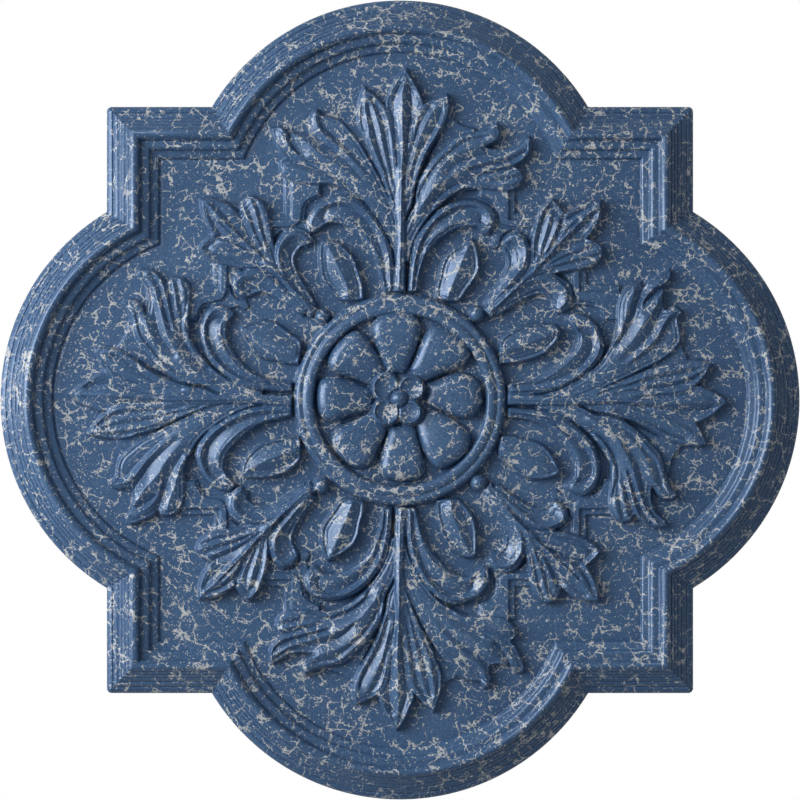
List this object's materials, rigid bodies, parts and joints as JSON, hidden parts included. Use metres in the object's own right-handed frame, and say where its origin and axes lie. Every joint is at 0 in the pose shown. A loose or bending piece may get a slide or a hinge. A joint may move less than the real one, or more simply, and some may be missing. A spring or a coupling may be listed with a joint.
{
  "type": "ceiling medallion",
  "caption": "Quatrefoil ceiling medallion, one moulded piece: flat back, reeded rim, acanthus leaves and buds around a ringed rosette.",
  "frame": {"origin": "centre of the flat back face", "axes": "+Z out of the ornamented front along the short depth, so it points down once the medallion is on a ceiling; +X and +Y run through the centres of two neighbouring lobes, right and up in the picture"},
  "size_m": [0.5298, 0.5298, 0.0312],
  "materials": {
    "painted_moulding": "slate-blue crackle paint over a beige undercoat, satin"
  },
  "bodies": {
    "root": {"medallion": "painted_moulding"}
  },
  "joints": []
}
